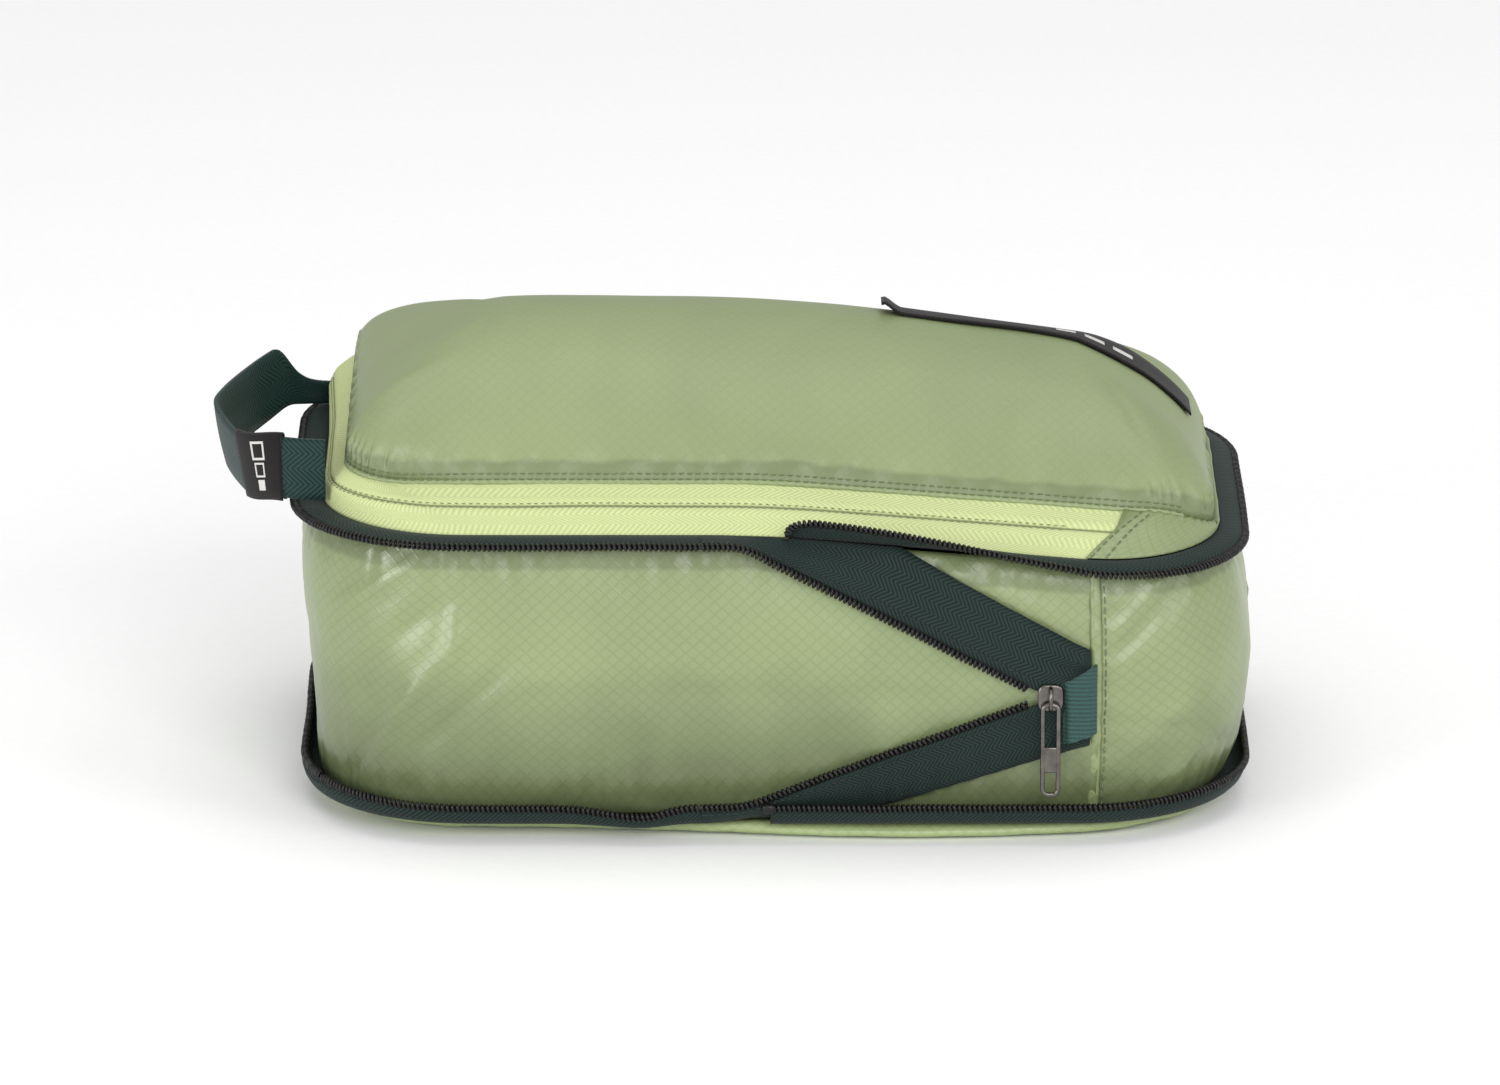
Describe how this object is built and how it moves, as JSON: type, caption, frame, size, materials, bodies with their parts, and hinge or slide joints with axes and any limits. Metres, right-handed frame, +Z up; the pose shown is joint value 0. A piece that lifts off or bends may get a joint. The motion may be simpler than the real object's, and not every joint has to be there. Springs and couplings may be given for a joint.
{
  "type": "packing cube",
  "caption": "Soft zipped packing cube in thin ripstop nylon, with a domed lid, a second zipper round the gusset that compresses it, and a webbing handle.",
  "frame": {"origin": "centre of the flat underside", "axes": "+X along the long side, towards the sewn end of the lid; +Y to the back, away from the compression zipper's slider; +Z up"},
  "size_m": [0.2806, 0.1691, 0.1245],
  "materials": {
    "moss_fabric": "thin calendered ripstop nylon, glossy, with a fine diamond grid",
    "moss_bottom": "ripstop nylon",
    "lime_tape": "woven herringbone zipper tape, matt",
    "dark_tape": "woven herringbone zipper tape, matt",
    "black_coil": "moulded nylon coil",
    "teal_webbing": "ribbed grosgrain webbing",
    "handle_webbing": "flat woven webbing",
    "black_label": "damask woven label",
    "gunmetal": "plated zinc and steel wire, satin"
  },
  "bodies": {
    "root": {"bottom_panel": "moss_bottom", "base_seam_binding": "dark_tape", "gusset_main": "moss_fabric", "gusset_right_end": "moss_fabric", "gusset_seam_front": "moss_fabric", "gusset_seam_rear": "moss_fabric", "lower_zip_tape": "dark_tape", "lower_zip_coil": "black_coil", "v_tape_upper": "dark_tape", "v_coil_upper": "black_coil", "v_tape_lower": "dark_tape", "v_coil_lower": "black_coil", "webbing_tab": "teal_webbing", "zip_stop_lower": "black_coil"},
    "upper_rim": {"upper_zip_tape": "dark_tape", "upper_zip_coil": "black_coil", "rim_seam_binding": "dark_tape", "main_zip_tape_lower": "lime_tape", "main_coil_lower": "black_coil", "corner_panel_front": "moss_fabric", "corner_panel_rear": "moss_fabric"},
    "lid": {"lid_panel": "moss_fabric", "main_zip_tape_upper": "lime_tape", "main_coil_upper": "black_coil", "lid_seam_binding": "dark_tape", "top_label": "black_label"},
    "handle": {"handle_strap": "handle_webbing", "size_tag": "black_label"},
    "compression_slider": {"compression_slider": "gunmetal"},
    "compression_pull": {"compression_pull": "gunmetal"},
    "main_slider": {"main_slider": "gunmetal"},
    "main_pull": {"main_pull": "gunmetal"}
  },
  "joints": [
    {"name": "compression_slide", "type": "slide", "parent": "root", "child": "upper_rim", "axis": [0, 0, 1], "range_m": [-0.04, 0], "deforming": ["gusset_main", "gusset_right_end", "gusset_seam_front", "gusset_seam_rear", "v_tape_upper", "v_coil_upper", "v_tape_lower", "v_coil_lower", "webbing_tab"]},
    {"name": "compression_slider_drop", "type": "slide", "parent": "root", "child": "compression_slider", "axis": [0, 0, 1], "range_m": [-0.0111, 0]},
    {"name": "compression_pull_swing", "type": "hinge", "parent": "compression_slider", "child": "compression_pull", "pos_m": [0.0734, -0.0839, 0.0391], "axis": [-1, 0, 0], "range_deg": [0, 120]},
    {"name": "lid_hinge", "type": "hinge", "parent": "upper_rim", "child": "lid", "pos_m": [0.124, 0, 0.079], "axis": [0, 1, 0], "range_deg": [0, 150]},
    {"name": "main_slider_travel", "type": "slide", "parent": "upper_rim", "child": "main_slider", "axis": [-0.9968, 0, 0.0797], "range_m": [0, 0.07]},
    {"name": "main_pull_lift", "type": "hinge", "parent": "main_slider", "child": "main_pull", "pos_m": [0.07982, 0.06492, 0.08357], "axis": [-0.0325, 0.9133, -0.406], "range_deg": [0, 120]},
    {"name": "handle_swing", "type": "hinge", "parent": "upper_rim", "child": "handle", "pos_m": [-0.1295, 0, 0.085], "axis": [0, 1, 0], "range_deg": [-60, 12]}
  ],
  "couplings": [
    {"joint": "compression_slider_drop", "follows": "compression_slide", "ratio": 0.275}
  ]
}
